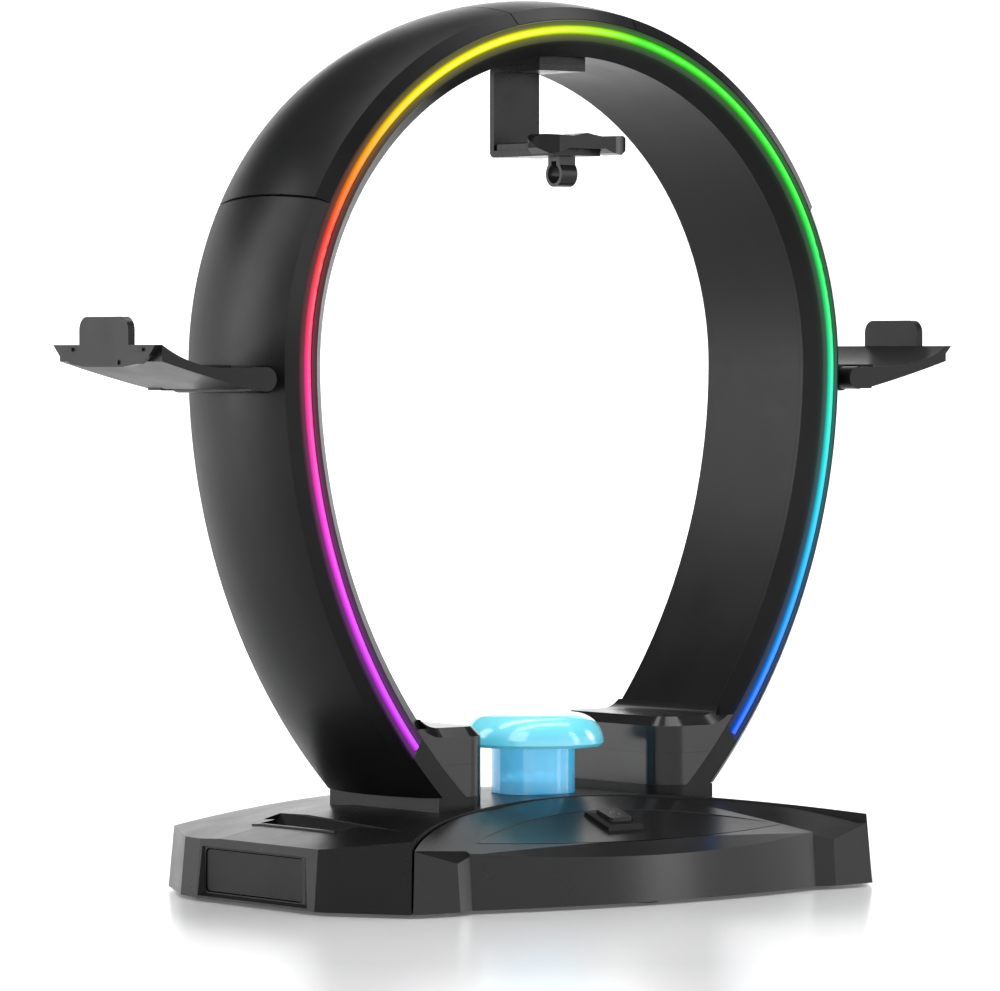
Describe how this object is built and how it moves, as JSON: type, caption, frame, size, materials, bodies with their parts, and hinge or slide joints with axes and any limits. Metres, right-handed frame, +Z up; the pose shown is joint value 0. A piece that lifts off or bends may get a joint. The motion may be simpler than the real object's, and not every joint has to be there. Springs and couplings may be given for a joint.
{
  "type": "headphone stand",
  "caption": "Desk headphone stand: a lit arch with a hanging saddle, folding controller trays, phone slots and a cable winder on a weighted base.",
  "frame": {"origin": "centre of the footprint, on the surface that the rubber feet rest on", "axes": "+Z up, +X to the right seen from the front, +Y to the rear; the power button and the light line face -Y"},
  "size_m": [0.3322, 0.142, 0.2917],
  "materials": {
    "base_black": "satin black moulded plastic",
    "apron_black": "semi-gloss black moulded plastic",
    "arch_black": "satin black moulded plastic",
    "foot_black": "satin black moulded plastic",
    "panel_black": "fine matte black plastic",
    "key_black": "semi-gloss black plastic",
    "inner_black": "black plastic",
    "hanger_black": "satin black plastic",
    "hook_black": "polished black plastic",
    "tray_black": "satin black plastic",
    "dark_steel": "zinc-plated steel",
    "foot_rubber": "black rubber",
    "circuit_board": "green solder mask",
    "light_warm": "lit diffuser, magenta at the foot through red and orange to yellow at the top",
    "light_cool": "lit diffuser, yellow-green at the top through green and cyan to blue at the foot",
    "winder_cyan": "translucent cyan plastic, lit from inside"
  },
  "bodies": {
    "stand": {"base_top_cover": "base_black", "base_bottom_plate": "base_black", "base_screws": "dark_steel", "rubber_feet": "foot_rubber", "front_apron": "apron_black", "main_board": "circuit_board", "usb_inlet": "dark_steel", "switch_board": "circuit_board", "button_switch": "inner_black", "button_bezel": "base_black", "leg_bolts": "dark_steel", "top_cap": "arch_black", "hanger_mount": "arch_black", "hanger_bracket": "hanger_black", "hanger_screws": "dark_steel", "saddle": "hanger_black", "cable_hook": "hook_black", "winder_drum": "winder_cyan", "winder_cap": "winder_cyan", "winder_light_board": "circuit_board", "right_ballast_plate": "dark_steel", "left_ballast_plate": "dark_steel", "right_end_panel": "panel_black", "left_end_panel": "panel_black", "right_slot_insert": "base_black", "left_slot_insert": "base_black", "right_leg_socket": "foot_black", "left_leg_socket": "foot_black", "right_foot_block": "foot_black", "left_foot_block": "foot_black", "right_arch_shell": "arch_black", "left_arch_shell": "arch_black", "right_front_trim": "arch_black", "left_front_trim": "arch_black", "right_light_strip": "circuit_board", "left_light_strip": "circuit_board", "right_leg_cover": "arch_black", "left_leg_cover": "arch_black", "right_wing_cover": "arch_black", "left_wing_cover": "arch_black", "right_tray_bracket": "tray_black", "left_tray_bracket": "tray_black", "right_hinge_pin": "dark_steel", "left_hinge_pin": "dark_steel", "left_light_diffuser": "light_warm", "right_light_diffuser": "light_cool"},
    "power_button": {"power_button": "key_black"},
    "right_tray": {"right_tray_arm": "tray_black", "right_tray_stop": "tray_black", "right_tray_pad": "foot_rubber"},
    "left_tray": {"left_tray_arm": "tray_black", "left_tray_stop": "tray_black", "left_tray_pad": "foot_rubber"}
  },
  "joints": [
    {"name": "power_button_press", "type": "slide", "parent": "stand", "child": "power_button", "axis": [0, 0, -1], "range_m": [0, 0.0009], "stiffness_N_per_m": 900, "springref_m": -0.001},
    {"name": "right_tray_fold", "type": "hinge", "parent": "stand", "child": "right_tray", "pos_m": [0.123, 0.0056, 0.168], "axis": [0, -1, 0], "range_deg": [0, 76]},
    {"name": "left_tray_fold", "type": "hinge", "parent": "stand", "child": "left_tray", "pos_m": [-0.123, 0.0056, 0.168], "axis": [0, 1, 0], "range_deg": [0, 76]}
  ]
}
